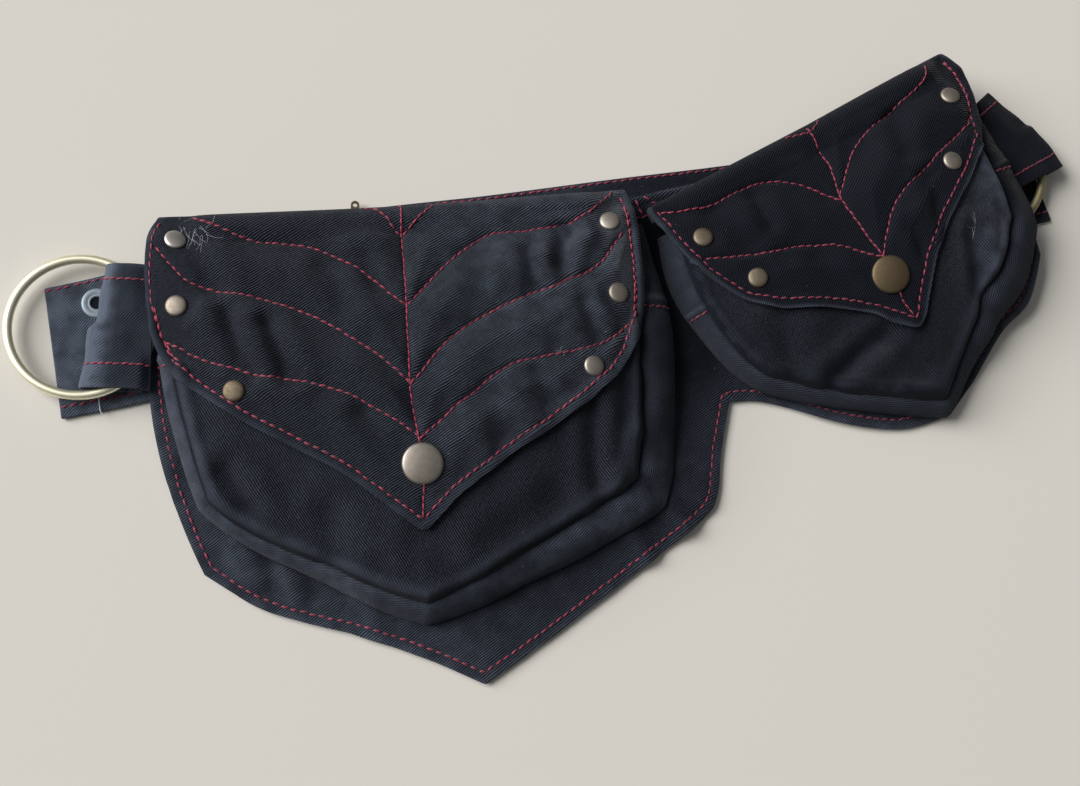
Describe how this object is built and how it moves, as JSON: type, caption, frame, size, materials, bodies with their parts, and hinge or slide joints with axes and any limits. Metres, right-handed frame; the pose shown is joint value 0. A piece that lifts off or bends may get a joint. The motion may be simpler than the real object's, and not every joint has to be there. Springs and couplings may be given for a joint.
{
  "type": "pocket belt",
  "caption": "Dark twill hip belt: a pointed back panel carries a large and a small gusseted pouch with stitched, snap-closed flaps, and a brass ring in a loop at each end.",
  "frame": {"origin": "under the middle of the belt's box, on the plane that it lies on", "axes": "+X along the belt from the large pouch to the small one, +Y up on the wearer, +Z away from the body"},
  "size_m": [0.4176, 0.2536, 0.0322],
  "materials": {
    "twill": "matte blue-black cotton twill",
    "thread": "crimson topstitching thread",
    "rivet_brass": "antique brass plating, worn silvery on top",
    "ring_brass": "pale brass wire, lightly scratched",
    "dark_steel": "dull grey plated steel"
  },
  "bodies": {
    "root": {"back_panel": "twill", "back_strap": "twill", "large_pouch_front": "twill", "large_pouch_gusset": "twill", "large_flap": "twill", "small_pouch_front": "twill", "small_pouch_gusset": "twill", "small_flap": "twill", "left_ring_loop": "twill", "right_ring_loop": "twill", "large_rivet_1": "rivet_brass", "large_rivet_2": "rivet_brass", "large_rivet_3": "rivet_brass", "large_rivet_4": "rivet_brass", "large_rivet_5": "rivet_brass", "large_rivet_6": "rivet_brass", "small_rivet_1": "rivet_brass", "small_rivet_2": "rivet_brass", "small_rivet_3": "rivet_brass", "small_rivet_4": "rivet_brass", "large_snap_cap": "rivet_brass", "small_snap_cap": "rivet_brass", "left_ring": "ring_brass", "right_ring": "ring_brass", "strap_eyelet": "dark_steel", "zip_pull": "dark_steel"}
  },
  "joints": []
}
